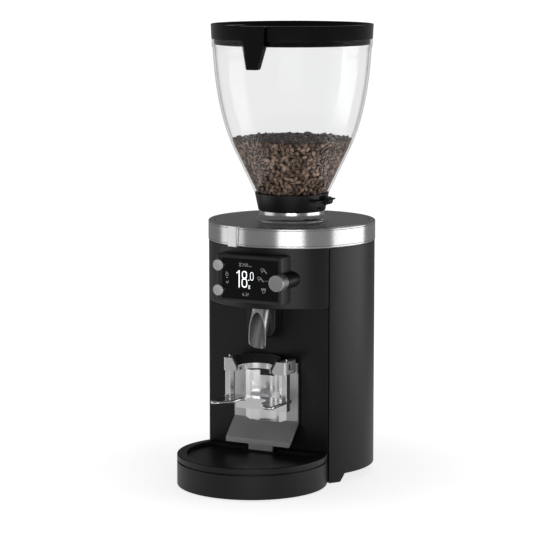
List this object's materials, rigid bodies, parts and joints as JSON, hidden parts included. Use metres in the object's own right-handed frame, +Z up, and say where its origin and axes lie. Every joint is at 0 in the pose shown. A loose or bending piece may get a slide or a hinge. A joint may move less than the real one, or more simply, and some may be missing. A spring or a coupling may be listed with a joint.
{
  "type": "burr coffee grinder",
  "caption": "Upright burr coffee grinder with a clear bean hopper, adjustment ring, touch display with knob, chute, portafilter rest with a fork, and a round slide-out tray.",
  "frame": {"origin": "on the worktop, where the vertical axis of the motor and burrs meets it", "axes": "+Z up along the grinding axis, the front with the display and the tray faces -Y, +X is to the right seen from the front"},
  "size_m": [0.24, 0.3475, 0.6448],
  "materials": {
    "black_panel": "matte black powder coat, smooth",
    "black_casting": "satin black coated casting",
    "black_plastic": "satin black plastic",
    "gloss_black": "gloss black plastic",
    "rubber": "matt rubber",
    "ring_steel": "fine turned stainless steel",
    "polished_steel": "polished stainless steel",
    "satin_aluminium": "bead-blasted anodised aluminium",
    "frame_aluminium": "machined aluminium",
    "machine_steel": "plain machined steel",
    "iron_core": "varnished iron laminations",
    "burr_steel": "coated hard burr steel",
    "dark_disc": "semi-gloss dark grey",
    "clear_hopper": "clear, slightly smoky food-grade plastic",
    "coffee": "roasted beans with a light oily sheen",
    "display_glass": "black glass-like touch panel",
    "circuit_board": "green solder mask"
  },
  "bodies": {
    "stand": {"base": "black_casting", "rubber_feet": "rubber", "head_deck": "frame_aluminium", "frame_columns": "frame_aluminium", "side_panel_right": "black_panel", "side_panel_left": "black_panel", "rear_panel": "black_panel", "front_panel_upper": "black_panel", "front_panel_lower": "black_panel", "panel_screws": "machine_steel", "power_inlet": "black_plastic", "power_switch": "black_plastic", "motor_stator": "iron_core", "motor_upper_bell": "frame_aluminium", "motor_lower_bell": "frame_aluminium", "motor_bolts": "machine_steel", "motor_bearings": "machine_steel", "run_capacitor": "black_plastic", "control_board": "circuit_board", "grind_chamber": "frame_aluminium", "disc_posts": "frame_aluminium", "top_disc": "dark_disc", "hopper_neck": "polished_steel", "display_housing": "black_panel", "display_glass": "display_glass", "display_board": "circuit_board", "knob_sleeve": "black_plastic", "outlet_duct": "black_plastic", "spout": "satin_aluminium", "holder_plate": "satin_aluminium", "backrest": "polished_steel", "load_cell": "frame_aluminium", "holder_hooks": "satin_aluminium", "dosing_funnel": "black_plastic", "funnel_ring": "polished_steel"},
    "rotor": {"motor_shaft": "machine_steel", "motor_rotor": "iron_core", "cooling_fan": "black_plastic", "lower_burr_carrier": "frame_aluminium", "lower_burr": "burr_steel", "lower_burr_screws": "machine_steel", "burr_cap": "frame_aluminium"},
    "adjuster": {"ring_spider": "frame_aluminium", "adjustment_ring": "ring_steel"},
    "burr_carriage": {"upper_burr_carrier": "frame_aluminium", "upper_burr": "burr_steel", "upper_burr_screws": "machine_steel"},
    "hopper": {"hopper_shell": "clear_hopper", "hopper_collar": "black_plastic", "coffee_beans": "coffee"},
    "lid": {"hopper_lid": "gloss_black"},
    "gate": {"shutoff_gate": "black_plastic", "gate_knob": "black_plastic"},
    "tray_body": {"tray": "black_casting"},
    "fork_body": {"fork": "polished_steel"},
    "button_a": {"button_upper": "satin_aluminium"},
    "button_b": {"button_lower": "satin_aluminium"},
    "selector_push": {"selector_spindle": "machine_steel"},
    "selector_turn": {"selector_knob": "ring_steel"},
    "rocker": {"power_rocker": "gloss_black"}
  },
  "joints": [
    {"name": "rotor_spin", "type": "hinge", "parent": "stand", "child": "rotor", "pos_m": [0, 0, 0.15], "axis": [0, 0, 1], "continuous": true},
    {"name": "ring_turn", "type": "hinge", "parent": "stand", "child": "adjuster", "pos_m": [0, 0, 0.35], "axis": [0, 0, 1], "range_deg": [-45, 45]},
    {"name": "burr_height", "type": "slide", "parent": "adjuster", "child": "burr_carriage", "axis": [0, 0, 1], "range_m": [-0.0002, 0.0002]},
    {"name": "hopper_lift", "type": "slide", "parent": "stand", "child": "hopper", "axis": [0, 0, 1], "range_m": [0, 0.08]},
    {"name": "lid_lift", "type": "slide", "parent": "hopper", "child": "lid", "axis": [0, 0, 1], "range_m": [0, 0.06]},
    {"name": "gate_slide", "type": "slide", "parent": "hopper", "child": "gate", "axis": [1, 0, 0], "range_m": [0, 0.057]},
    {"name": "tray_slide", "type": "slide", "parent": "stand", "child": "tray_body", "axis": [0, -1, 0], "range_m": [0, 0.11]},
    {"name": "fork_height", "type": "slide", "parent": "stand", "child": "fork_body", "axis": [0, 0, 1], "range_m": [-0.012, 0.005]},
    {"name": "upper_button_press", "type": "slide", "parent": "stand", "child": "button_a", "axis": [0, 1, 0], "range_m": [0, 0.0015], "stiffness_N_per_m": 400},
    {"name": "lower_button_press", "type": "slide", "parent": "stand", "child": "button_b", "axis": [0, 1, 0], "range_m": [0, 0.0015], "stiffness_N_per_m": 400},
    {"name": "selector_press", "type": "slide", "parent": "stand", "child": "selector_push", "axis": [0, 1, 0], "range_m": [0, 0.001], "stiffness_N_per_m": 600},
    {"name": "selector_rotate", "type": "hinge", "parent": "selector_push", "child": "selector_turn", "pos_m": [0.054, -0.14, 0.2945], "axis": [0, 1, 0], "continuous": true},
    {"name": "power_rocker_tilt", "type": "hinge", "parent": "stand", "child": "rocker", "pos_m": [0, 0.114, 0.084], "axis": [-1, 0, 0], "range_deg": [0, 16]}
  ],
  "couplings": [
    {"joint": "burr_height", "follows": "ring_turn", "m_per_rad": 0.00023873}
  ]
}
